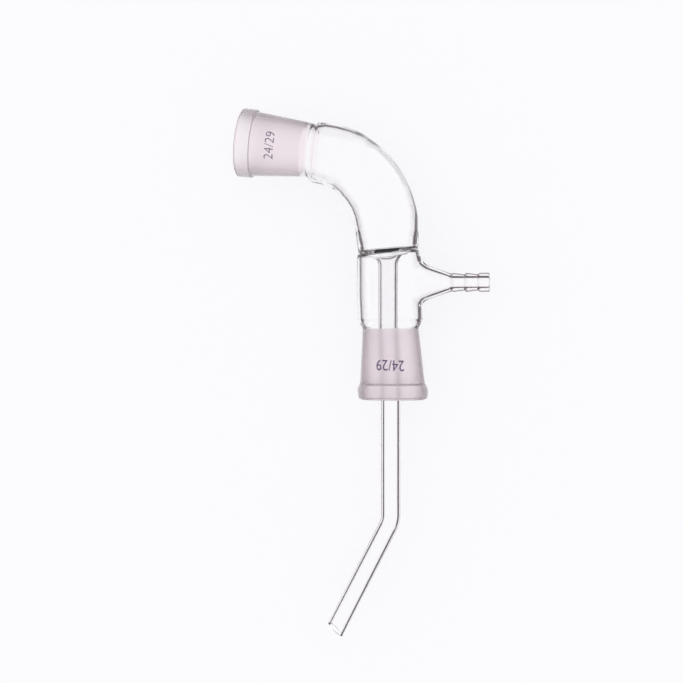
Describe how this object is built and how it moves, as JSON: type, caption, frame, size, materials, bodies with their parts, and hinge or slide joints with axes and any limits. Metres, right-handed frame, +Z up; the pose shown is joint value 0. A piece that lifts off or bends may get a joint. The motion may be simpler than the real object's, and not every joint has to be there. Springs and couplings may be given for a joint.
{
  "type": "vacuum take off adapter",
  "caption": "Bent glass take-off adapter: ground socket in, drip tube down through a jacket with a hose barb, ground socket out.",
  "frame": {"origin": "on the bench, under the middle of the glass as it lies on its side", "axes": "+Z up from the bench; +Y along the drip tube, from the tail towards the bend; +X along the side arm, towards its hose barb. The glass leans 2 degrees about the line between its beads, so the drip tube and the side arm are that little off +Y and +X"},
  "size_m": [0.1069, 0.2221, 0.0296],
  "materials": {
    "glass": "clear blown borosilicate glass, ground to a frosted finish inside both sockets",
    "print": "small joint-size figures in violet-blue enamel, fired on the outside of each socket"
  },
  "bodies": {
    "root": {"adapter": "glass"}
  },
  "joints": []
}
